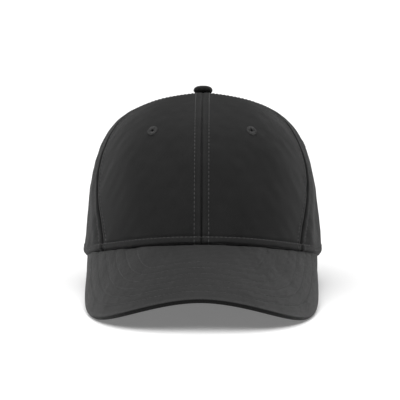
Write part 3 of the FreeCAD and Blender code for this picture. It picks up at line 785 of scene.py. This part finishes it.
def panel(kind, side, word):
    """One of the six crown panels, with its topstitching."""
    name = f"{kind}_panel_{word}"
    seams = {
        "front": [(fixed_seam(0.0), "centre"), (front_seam, "front")],
        "side": [(front_seam, "front"), (fixed_seam(BACK_SEAM), "back")],
        "back": [(fixed_seam(BACK_SEAM), "back"), (fixed_seam(180.0), "rear")],
    }[kind]
    if side < 0:
        seams = [((lambda seam: lambda angle: -seam(angle))(seam), edge) for seam, edge in seams[::-1]]
    top = lambda direction: angle_at_share(direction, TOP_SHARE)
    direction, angle = crown_grid(seams[0][0], seams[1][0], 0.0, top, 112, 190)
    base = crown_point(direction, angle)
    normal = grid_normals(base)
    along, up = lengths(base, 1), lengths(base, 0)
    left, right = along, along[:, -1:] - along
    fade = smooth((CROWN_HEIGHT - 3 - base[..., 2]) / 16)
    over_visor = 1 - smooth((np.abs(direction) - VISOR_TIP + 14) / 14)
    relief = seam_relief(left, up, seams[0][1]) + seam_relief(right, up, seams[1][1])
    relief = relief * (0.35 + 0.65 * fade) + base_relief(up, base, over_visor)
    relief = relief + cloth_wave(base, kind) * fade * smooth(up / 12)
    if kind == "side":
        beside = left if side > 0 else right
        relief = relief + 0.9 * bump(beside, 14, 8) * fade * smooth(up / 18)
    outer = base + normal * relief[..., None]
    depth = np.maximum(CLOTH, 0.15 - relief)
    inner = base - normal * np.minimum(depth, 2.4)[..., None]
    # Worn lighter along the seams' edges, on the welt and on the folded lower edge
    wear_and_painted_shade = 0.8 * bump(left, 1.6, 1.2) + 0.8 * bump(right, 1.6, 1.2)
    wear_and_painted_shade = wear_and_painted_shade * 0.4 + 0.5 * bump(up, 4.8, 1.6) * over_visor + 0.4 * bump(up, 1.2, 1.2) * (1 - over_visor)
    # Painted shade: darker in each seam's groove and in the gap under the welt above the visor
    painted_shade = bump(left, 0, SEAMS[seams[0][1]][1]) + bump(right, 0, SEAMS[seams[1][1]][1])
    painted_shade = painted_shade + (1 - smooth((up - 1.4) / 1.2)) * over_visor
    made = shell(name, outer, inner, grid_weave(base), np.clip(wear_and_painted_shade - 1.6 * painted_shade, -1, 1))
    cutters = [bore(kind, side)]
    if kind == "back":
        cutters.append(arch_cutter())
    carve(made, cutters)
    dress(made, "twill", "cap", "cotton_twill", name)
    cut_cloth(base)

    outside = lambda points: ~inside_arch(points, 6.5)
    rows = [line_at(outer, normal, left, SEAM_ROW, 2.4)]
    rows.append(line_at(*mirrored_rows(outer, normal, right), SEAM_ROW, 2.4))
    turned = sideways(outer, normal, up)
    rows.append(kept(line_at(*turned, BASE_ROW), lambda points: over_visor_at(points) < 0.3))
    rows.append(kept(line_at(*turned, WELT_ROW - 0.9), lambda points: over_visor_at(points) > 0.7))
    rows = [kept(row, outside) if kind == "back" else row for row in rows]
    stitches(f"stitching_{kind}_{word}", rows, "cap", seed=20 + len(name) + side)


def place_in_plan(points):
    """Direction of the nearest point of the front or side outline, and the distance outside it."""
    x, y = np.abs(points[..., 0]), points[..., 1]
    lean = np.degrees(np.arctan2(x, CENTRES[0, 1] - y))
    arc = np.where(lean <= FRONT_ARC_END, 0, 1)
    x, y = x - CENTRES[arc, 0], CENTRES[arc, 1] - y
    return np.degrees(np.arctan2(x, y)), np.hypot(x, y) - RADII[arc]


def over_visor_at(points):
    """1 above the visor and 0 behind its tips."""
    return 1 - smooth((place_in_plan(points)[0] - VISOR_TIP + 14) / 14)


for side, word in SIDES:
    for kind in ("front", "side", "back"):
        panel(kind, side, word)


# ------------------------------------------------------------------ inside of the crown


def layer(name, direction, angle, low, high, edge_row=None):
    """Sheet inside the crown between two depths."""
    outer, inner = crown_point(direction, angle, low), crown_point(direction, angle, high)
    across = lengths(outer, 1)
    beside = np.minimum(across, across[:, -1:] - across)
    if edge_row:
        normal = grid_normals(outer)
        pucker = 0.5 + 0.5 * np.cos(2 * math.pi * lengths(outer, 0) / STITCH)
        press = (0.12 + 0.1 * pucker) * bump(beside, edge_row, 0.8)
        press = press - 0.25 * bump(across, across[:, -1:] / 2, 3.0)
        inner = inner + normal * press[..., None]
    made = shell(name, outer, inner, grid_weave(outer))
    return made, outer, inner


def tape(name, seam, depths, low, columns=25, rows=150):
    """Folded tape sewn over a seam inside the crown."""
    p = lambda angle: mix(seam(angle), FULLNESS)

    def edge(side):
        def direction(angle):
            c, s = np.cos(np.radians(angle)), np.sin(np.radians(angle))
            distance = BACK_RADIUS * c * (c ** p(angle) + s ** p(angle)) ** (-1 / p(angle))
            return seam(angle) + side * np.degrees(TAPE_HALF_WIDTH / distance)

        return direction

    top = angle_at_share(seam(np.array(80.0)), TAPE_TOP_SHARE)
    across = np.linspace(0, 1, columns)[None]
    angle = (low + (top - low) * np.linspace(0, 1, rows))[:, None] + 0 * across
    direction = edge(-1)(angle) * (1 - across) + edge(1)(angle) * across
    wrapped = np.where(direction > 180, direction - 360, direction)
    made, outer, inner = layer(name, wrapped, angle, *depths, edge_row=TAPE_ROW)
    dress(made, "tape", "cap", "seam_tape", name)
    cut_cloth(outer)
    return inner, -grid_normals(outer)


tape_rows = []
for name, seam, depths, low in (
    ("seam_tape_centre_front", fixed_seam(0.0), TAPE_OVER_BUCKRAM, 1.0),
    ("seam_tape_centre_back", fixed_seam(180.0), TAPE_ON_CLOTH, 31.0),
    ("seam_tape_front_left", front_seam, TAPE_OVER_BUCKRAM, 1.0),
    ("seam_tape_front_right", lambda angle: -front_seam(angle), TAPE_OVER_BUCKRAM, 1.0),
    ("seam_tape_back_left", fixed_seam(BACK_SEAM), TAPE_ON_CLOTH, 1.0),
    ("seam_tape_back_right", fixed_seam(-BACK_SEAM), TAPE_ON_CLOTH, 1.0),
):
    inner, inward = tape(name, seam, depths, low)
    across = lengths(inner, 1)
    tape_rows.append(line_at(inner, inward, across, TAPE_ROW))
    tape_rows.append(line_at(*mirrored_rows(inner, inward, across[:, -1:] - across), TAPE_ROW))
stitches("stitching_tapes", tape_rows, "cap", seed=3)

for side, word in SIDES:
    edges = [lambda a: 0.4 + 0 * a, lambda a: front_seam(a) - 1.5]
    if side < 0:
        edges = [lambda a: 1.5 - front_seam(a), lambda a: -0.4 + 0 * a]
    direction, angle = crown_grid(*edges, 1.0, lambda d: angle_at_share(d, 0.12), 40, 60, 0.2)
    stiffener, outer, _ = layer(f"buckram_{word}", direction, angle, *BUCKRAM_DEPTHS)
    carve(stiffener, [bore("front", side)])
    dress(stiffener, "buckram", "cap", "buckram", f"buckram_{word}")
    cut_cloth(outer)


def band_grid(heights, depth_at, columns=260):
    """Grid inside the opening, from one side of the back opening round the front to the other."""
    end = 180 - math.degrees(math.asin(ARCH_HALF_WIDTH / BACK_RADIUS))
    run = np.linspace(-run_to(end), run_to(end), columns)[None]
    direction = direction_after(run + 0 * heights[:, None])
    edge = crown_edge(direction)
    height = edge + heights[:, None] * (BAND_TOP - edge) / heights[-1]
    return crown_at_height(direction, height, depth_at(direction, heights[:, None]))


def sweatband():
    """Band whose lower edge turns out to the crown's edge, where it is sewn on."""
    heights = np.concatenate([np.linspace(0.4, 4.0, 14), np.linspace(4.6, BAND_TOP, 44)])
    full = lambda d: mix(d, BAND_DEPTH)
    fold = lambda d, h: full(d) - (full(d) - 1.0) * (1 - smooth((h - 0.2) / 3.0))
    outer = band_grid(heights, fold)
    normal = grid_normals(outer)
    run = lengths(outer, 1)
    ripple = 0.16 * waves(outer * [1, 1, 0.4], 9, 21) + 0.2 * waves(outer, 30, 22)
    h = heights[:, None] + 0 * run
    ripple = ripple * smooth((h - 1) / 4) * smooth((BAND_TOP - h) / 3)
    inner = outer - normal * (BAND_THICKNESS + ripple)[..., None]
    low, high = BAND_ROWS
    inner = inner + normal * (0.25 * bump(h, high, 0.7) + 0.3 * bump(h, low, 0.8))[..., None]
    made = shell("sweatband", outer, inner, grid_weave(outer))
    dress(made, "band", "cap", "sweatband_cloth", "sweatband")
    cut_cloth(outer)
    start = heights[0]
    rows = [line_at(*sideways(inner, -normal, h - start), value - start) for value in BAND_ROWS]
    stitches("stitching_sweatband", rows, "cap", seed=5)


sweatband()


def care_label():
    """Blank folded satin tab on the sweatband."""
    direction = np.linspace(128.0, 141.0, 40)[None] + np.zeros((40, 1))
    height = np.linspace(7.0, 25.0, 40)[:, None] + 0 * direction
    outer = crown_at_height(direction, height, 6.3)
    normal = grid_normals(outer)
    curl = 0.25 * waves(outer, 16, 31) + 0.5 * smooth((12 - height) / 6)
    outer = outer - normal * curl[..., None]
    inner = outer - normal * 0.4
    made = shell("care_label", outer, inner, grid_weave(outer))
    dress(made, "satin", "cap", "label_satin", "care_label")
    cut_cloth(outer)


care_label()


# ------------------------------------------------------------------ back opening


def binding():
    """Tape folded over the edge of the back opening."""
    x, z = arch_line(0.0, 200)
    z = np.maximum(z, 0.6)
    line = on_back(x, z)
    normal = unit(on_back(x, z, -1.0) - on_back(x, z, 1.0))
    tangent = unit(np.gradient(line, axis=0))
    away = unit(np.cross(normal, tangent))
    centre = np.array([0, line[:, 1].mean(), ARCH_HEIGHT - ARCH_HALF_WIDTH])
    away = away * np.sign(((line - centre) * away).sum(-1).mean())
    row = 1.6
    profile = strip_profile(BINDING_WIDTH + BINDING_LIP, BINDING_THICKNESS, 0.15, rows=(row,), dent=0.22)
    middle = line + away * (BINDING_WIDTH - BINDING_LIP) / 2 - normal * 0.4
    lumps = 0.12 * waves(middle, 12, 41)
    made = sweep("arch_binding", middle + normal * lumps[:, None], away, normal, profile)
    dress(made, "twill_binding", "cap", "cotton_twill", "arch_binding")
    face = 0.88
    ring = middle + normal * (lumps + face)[:, None] + away * row
    back = middle + normal * (lumps - face)[:, None] + away * row
    stitches("stitching_binding", [(ring, normal), (back, -normal)], "cap", seed=9)


binding()


# ------------------------------------------------------------------ visor

ROLL = VISOR_THICKNESS / 2
SKIN = 0.42
QUILT = 0.16  # depth of the channels that the rows of stitching press into the visor


def visor_edge(count=420):
    """The visor's whole free edge: up each side and round the front, evenly spaced, on the top face."""
    u = 0.5 - 0.5 * np.cos(math.pi * crowded(2400, 1.0))
    rim = visor_rim(u)
    share = np.linspace(0, 1, 60)[:-1, None]
    first = visor_root(np.array(0.0)) * (1 - share) + rim[0] * share
    last = rim[-1] * (1 - share) + visor_root(np.array(1.0)) * share
    whole = np.concatenate([first, rim, last])
    run = lengths(whole)
    keep = np.concatenate([[True], np.diff(run) > 1e-6])
    whole, run = whole[keep], run[keep]
    at = np.linspace(0, run[-1], count)
    return np.stack([np.interp(at, run, whole[:, k]) for k in range(3)], -1)


def visor_surface():
    """Ray-cast lookup of the visor's ruled top face."""
    u = crowded(500, 1.0)
    v = np.linspace(-0.25, 1.02, 70)
    v = v[None, :, None]
    grid = visor_root(u)[:, None] * (1 - v) + visor_rim(u)[:, None] * v
    faces = grid_faces(*grid.shape[:2]).tolist()
    return BVHTree.FromPolygons([Vector(p) for p in grid.reshape(-1, 3)], faces)


def drop_on(tree, points):
    """Heights of the surface over points in plan, and its upward normals there."""
    heights, normals = [], []
    for point in points.reshape(-1, 3):
        place, normal, *_ = tree.ray_cast(Vector((point[0], point[1], 100.0)), Vector((0, 0, -1)))
        if place is None:
            place, normal, *_ = tree.find_nearest(Vector(point))
        heights.append(place.z)
        normals.append(normal if normal.z > 0 else -normal)
    return np.reshape(heights, points.shape[:-1]), np.reshape(normals, points.shape)


def visor_grid(rows=78):
    """Grid on the visor's top face, from inside the crown (row 0) to the free edge (last row)."""
    edge = visor_edge()
    count = len(edge)
    end = run_to(VISOR_TIP)
    direction = direction_after(np.linspace(-end, end, count))
    x, y = outline(direction, 1.6)
    root = np.stack([x, y, crown_edge(direction) + ROOT_RISE], -1)
    tangent = np.gradient(edge, axis=0) * [1, 1, 0]
    inward = unit(np.cross([0, 0, 1.0], tangent))
    inner_edge = edge + inward * 3.0
    share = np.linspace(0, 1, rows)[:, None, None]
    body = root[None] * (1 - share) + inner_edge[None] * share
    turn = np.linspace(math.pi / 2, 0, 13)[1:-1]
    steps = np.concatenate([[2.4, 1.9], ROLL * (1 - np.cos(turn))])
    steps = np.unique(np.round(steps, 4))[::-1]
    lip = edge[None] + inward[None] * steps[:, None, None]
    grid = np.concatenate([body, lip, edge[None]])
    grid[..., 2], normal = drop_on(visor_surface(), grid)
    grid[-1] = edge
    direction, gap = place_in_plan(grid)
    hidden = np.minimum(grid[..., 2], crown_edge(np.minimum(direction, VISOR_TIP)) + ROOT_RISE - 0.3)
    grid[..., 2] = np.where(gap < -0.3, hidden, grid[..., 2])
    return grid[::-1], normal[::-1], gap[::-1], edge


def edge_distance(grid, edge):
    """Distance of every grid point from the visor's free edge."""
    flat = grid.reshape(-1, 3)
    nearest = np.full(len(flat), 1e9)
    for part in np.array_split(edge, 20):
        gap = np.linalg.norm(flat[:, None] - part[None], axis=-1).min(1)
        nearest = np.minimum(nearest, gap)
    return nearest.reshape(grid.shape[:2])


def visor():
    """Top and under cover, sewn together along the middle of the edge and quilted in rows."""
    grid, normal, gap, edge = visor_grid()
    distance = edge_distance(grid, edge)
    distance[0] = 0
    near = np.clip(ROLL - distance, 0, ROLL)
    square = 3.5
    fall = ROLL * (1 - (1 - (near / ROLL) ** square) ** (1 / square))
    channel = sum(bump(distance, row, 0.75) for row in VISOR_ROWS) + 0.7 * bump(distance, 4.5, 1.2)
    pillow = sum(bump(distance, row + 4.0, 2.4) for row in VISOR_ROWS)
    uneven = 0.16 * waves(grid, 22, 51) + 0.07 * waves(grid, 7, 52)
    calm = smooth(distance / 6)
    relief = -QUILT * channel + 0.10 * pillow + uneven * calm
    wear_and_painted_shade = 0.7 * bump(distance, 1.9, 1.0) + 0.2 * bump(distance, 4.0, 5.0)
    # Painted shade: darker within about 0.75 mm of the free edge, on the edge's own face
    wear_and_painted_shade = np.clip(wear_and_painted_shade - 1.3 * (1 - smooth((distance - 0.15) / 0.6)), -1, 1)
    weave = grid[..., :2] * [1.0, 1 / math.cos(math.radians(VISOR_SLOPE))]
    rows = {}
    for name, sign in (("visor_top_cover", 1), ("visor_under_cover", -1)):
        depth = fall - relief if sign > 0 else VISOR_THICKNESS - fall + relief
        face = grid - normal * depth[..., None]
        facing = np.where(gap[..., None] < 0.4, normal, grid_normals(face))
        inside = face - sign * facing * SKIN
        outer, inner = (face, inside) if sign > 0 else (inside, face)
        made = shell(name, outer, inner, weave, wear_and_painted_shade)
        # Both covers take the visor's copy of the twill, painted lighter than the crown's
        dress(made, "twill_visor_painted_lighter", "cap", "cotton_twill", name)
        cut_cloth(grid)
        turned = sideways(face, sign * normal, distance)
        rows[sign] = [line_at(*turned, value, 1.02) for value in VISOR_ROWS]
    stitches("stitching_visor_top", rows[1], "cap", thread=THREAD * 0.9, seed=13)
    stitches("stitching_visor_under", rows[-1], "cap", thread=THREAD * 0.85, seed=14)


visor()


# ------------------------------------------------------------------ eyelets and button


def eyelets():
    """Rings of satin stitch round the six ventilation holes."""
    for pair in EYELETS:
        for side, word in SIDES:
            centre, normal = eyelet_place(pair, side)
            under = -(BUCKRAM_DEPTHS[1] if pair == "front" else CLOTH) - 0.45
            turn = np.linspace(0, math.pi, 15)
            middle = (EYELET_HOLE + EYELET_RIM) / 2 - 0.15
            half = (EYELET_RIM - EYELET_HOLE) / 2 - 0.05
            top = np.stack([middle - half * np.cos(turn), 0.15 + 0.85 * np.sin(turn) ** 0.8], -1)
            below = np.stack([middle + half * np.cos(turn), under - 0.45 * np.sin(turn) ** 0.8], -1)
            profile = np.concatenate([top, below])
            turns = EYELET_THREADS * 8
            a = np.arange(turns) * 2 * math.pi / turns
            lay = np.abs(np.sin(a * EYELET_THREADS / 2)) ** 0.7
            grid = revolve(profile[:, 0], profile[:, 1], centre, normal, turns)
            section = np.concatenate([np.sin(turn), -np.sin(turn)])
            grid = grid + (section[:, None] * (lay - 0.6) * 0.22)[..., None] * normal
            outward = unit(grid - centre - ((grid - centre) @ normal)[..., None] * normal)
            grid = grid + outward * ((lay - 0.6) * 0.2 * (profile[:, :1] > middle))[..., None]
            faces = [grid_faces(len(profile), turns, closed=True, looped=True)]
            made = build(f"eyelet_{pair}_{word}", grid.reshape(-1, 3), faces)
            tidy_normals(made)
            dress(made, "eyelet", "cap", "eyelet_thread", f"eyelet_{pair}_{word}")


def button_cover():
    """Cloth gathered over the button's core."""
    turns = 160
    a = np.arange(turns) * 2 * math.pi / turns
    crest = np.radians(np.linspace(0, 90, 22))
    shoulder = BUTTON_HEIGHT * 0.3
    centre_gap = 0.02
    dome = BUTTON_RADIUS * np.cos(crest) ** BUTTON_ROUNDNESS
    rise = shoulder + (BUTTON_HEIGHT - shoulder) * np.sin(crest) ** BUTTON_ROUNDNESS
    radii = np.concatenate([[centre_gap, 3.0, BUTTON_RADIUS - 1.2], dome])
    heights = np.concatenate([[-0.1, -0.1, 0.05], rise])
    radii[-1] = centre_gap
    seat = np.array([0, APEX_Y, BUTTON_SEAT])
    grid = revolve(radii, heights, seat, np.array([0, 0, 1.0]), turns)
    low = smooth((shoulder + 1.6 - heights) / 2.4)[:, None] * smooth((radii - 2.5) / 3)[:, None]
    pleats = 0.16 * np.sin(a * 13 + 0.6) + 0.10 * np.sin(a * 29 + 1.1)
    outward = unit(grid - seat)
    grid = grid + outward * (low * pleats)[..., None]
    faces = tube_faces(len(radii), turns)
    made = build("button_cover", grid.reshape(-1, 3), faces, grid[..., :2].reshape(-1, 2))
    tidy_normals(made)
    dress(made, "twill", "cap", "cotton_twill", "button_cover")


eyelets()
button_cover()


# ------------------------------------------------------------------ strap and buckle


def polar(radius, angle, height):
    a = np.radians(angle)
    height = height + 0 * a
    return np.stack([radius * np.sin(a), STRAP_AXIS_Y + radius * np.cos(a), height], -1)


def strap():
    """Flat webbing with two rows of stitching."""
    low, high = STRAP_SPAN
    angle = np.linspace(*STRAP_ANGLES, 180)
    line = polar(STRAP_INNER + STRAP_THICKNESS / 2, angle, (low + high) / 2)
    out = unit(polar(1.0, angle, 0.0) - polar(0.0, angle, 0.0))
    up = np.zeros_like(out) + [0, 0, 1.0]
    edge = 2.2
    row = (high - low) / 2 - edge
    profile = strip_profile(high - low, STRAP_THICKNESS - 0.1, 0.05, rows=(row, -row), dent=0.12, steps=61)
    made = sweep("strap", line, up, out, profile)
    dress(made, "webbing", "strap", "strap_cloth", "strap")
    rows = []
    for side in (1, -1):
        for face in (1, -1):
            lane = line + up * row * side + out * face * (STRAP_THICKNESS / 2 - 0.12)
            rows.append((lane, out * face))
    stitches("stitching_strap", rows, "strap", thread=THREAD * 0.55, seed=15)


def buckle_loop():
    """Tab whose end goes round the buckle's bar."""
    thick = 0.55
    middle = (STRAP_SPAN[0] + STRAP_SPAN[1]) / 2
    clear = 0.1
    ring = BAR_RADIUS + clear + 0.3
    tail = BAR_AXIS - BAR_RADIUS - clear - 0.6 + thick / 2
    angle = np.linspace(LOOP_END, BAR_ANGLE + 0.6, 60)
    tail_line = polar(tail, angle, middle)
    centre = polar(BAR_AXIS, np.array(BAR_ANGLE), middle)
    out = polar(1.0, np.array(BAR_ANGLE), 0.0) - polar(0.0, np.array(BAR_ANGLE), 0.0)
    aside = np.array([out[1], -out[0], 0])
    turn = np.linspace(-math.pi / 2, 1.1 * math.pi, 40)
    round_bar = centre + np.outer(np.sin(turn), out) * ring - np.outer(np.cos(turn), aside) * ring
    line = np.concatenate([tail_line, round_bar[1:]])
    ahead = unit(np.gradient(line, axis=0))
    up = np.zeros_like(line) + [0, 0, 1.0]
    profile = strip_profile(STRAP_SPAN[1] - STRAP_SPAN[0] - 2.0, thick, 0.0, steps=31)
    made = sweep("buckle_loop", line, up, unit(np.cross(ahead, up)), profile)
    dress(made, "webbing", "cap", "strap_cloth", "buckle_loop")


strap()
buckle_loop()


def softened(name, look, width):
    """A CAD part that stays: rounded edges and its own material."""
    node = frame["nodes"][name]
    bevel = node.modifiers.new("edges", "BEVEL")
    bevel.width = width * MM
    bevel.segments = 3
    bevel.limit_method = "ANGLE"
    bevel.angle_limit = math.radians(40)
    bevel.harden_normals = False
    node.data.materials.clear()
    node.data.materials.append(material(look))


for name, look, width in (
    ("buckle_frame", "nickel", 0.12),
    ("buckle_pin", "nickel", 0.12),
    ("buckle_lever", "nickel", 0.15),
    ("button_core", "button", 0.1),
    ("button_rivet", "button", 0.15),
    ("visor_board", "board", 0.2),
):
    softened(name, look, width)


# ------------------------------------------------------------------ floor, light and camera

WORLD_LOW, WORLD_HIGH = 0.28, 1.6  # strength at the horizon and overhead
FLOOR_HALF, FLOOR_GLOW = 40.0, 0.18  # half its side in metres, and the light of a lit table


def floor():
    """Large pale floor."""
    mesh = bpy.data.meshes.new("floor")
    corners = [(x * FLOOR_HALF, y * FLOOR_HALF, 0) for x, y in ((-1, -1), (1, -1), (1, 1), (-1, 1))]
    mesh.from_pydata(corners, [], [(0, 1, 2, 3)])
    made = placed("floor", mesh)
    paint = Shader("floor", Roughness=0.9, Specular_IOR_Level=0.1)
    paint.surface.inputs["Base Color"].default_value = grey(0.9)
    paint.surface.inputs["Emission Color"].default_value = grey(1.0)
    paint.surface.inputs["Emission Strength"].default_value = FLOOR_GLOW
    mesh.materials.append(paint.material)


def sun(name, strength, spread_deg, azimuth, elevation):
    """Soft light from far away; azimuth 0 is the camera's side and positive is to its right."""
    data = bpy.data.lights.new(name, "SUN")
    data.energy = strength
    data.angle = math.radians(spread_deg)
    lamp = placed(name, data)
    a, e = math.radians(azimuth), math.radians(elevation)
    towards = Vector((math.sin(a) * math.cos(e), -math.cos(a) * math.cos(e), math.sin(e)))
    lamp.rotation_mode = "QUATERNION"
    lamp.rotation_quaternion = towards.to_track_quat("Z", "Y")


def world():
    """Studio surroundings: brighter overhead than at the horizon."""
    made = bpy.data.worlds.new("studio")
    made.use_nodes = True
    tree = made.node_tree
    background = tree.nodes["Background"]
    coordinates = tree.nodes.new("ShaderNodeTexCoord")
    parts = tree.nodes.new("ShaderNodeSeparateXYZ")
    ramp = tree.nodes.new("ShaderNodeMapRange")
    ramp.inputs["From Min"].default_value = 0.0
    ramp.inputs["From Max"].default_value = 0.9
    ramp.inputs["To Min"].default_value = WORLD_LOW
    ramp.inputs["To Max"].default_value = WORLD_HIGH
    tree.links.new(coordinates.outputs["Generated"], parts.inputs[0])
    tree.links.new(parts.outputs[2], ramp.inputs[0])
    tree.links.new(ramp.outputs[0], background.inputs["Strength"])
    bpy.context.scene.world = made


floor()
world()
sun("key", 3.4, 85, -40, 82)

# The camera stands in front of the cap, slightly above it
TARGET = Vector((-2.0 * MM, ORIGIN[1], 64.0 * MM))
ELEVATION, AZIMUTH, DISTANCE, LENS = math.radians(8.0), math.radians(0.6), 1.3, 156.4
camera_data = bpy.data.cameras.new("camera")
camera_data.lens = LENS
camera_data.sensor_width = 36.0
camera = placed("camera", camera_data)
level = math.cos(ELEVATION)
toward = Vector((math.sin(AZIMUTH) * level, -math.cos(AZIMUTH) * level, math.sin(ELEVATION)))
camera.location = TARGET + toward * DISTANCE
camera.rotation_euler = toward.to_track_quat("Z", "Y").to_euler()
bpy.context.scene.camera = camera
bpy.context.scene.view_settings.view_transform = "Standard"
bpy.context.scene.view_settings.look = "None"
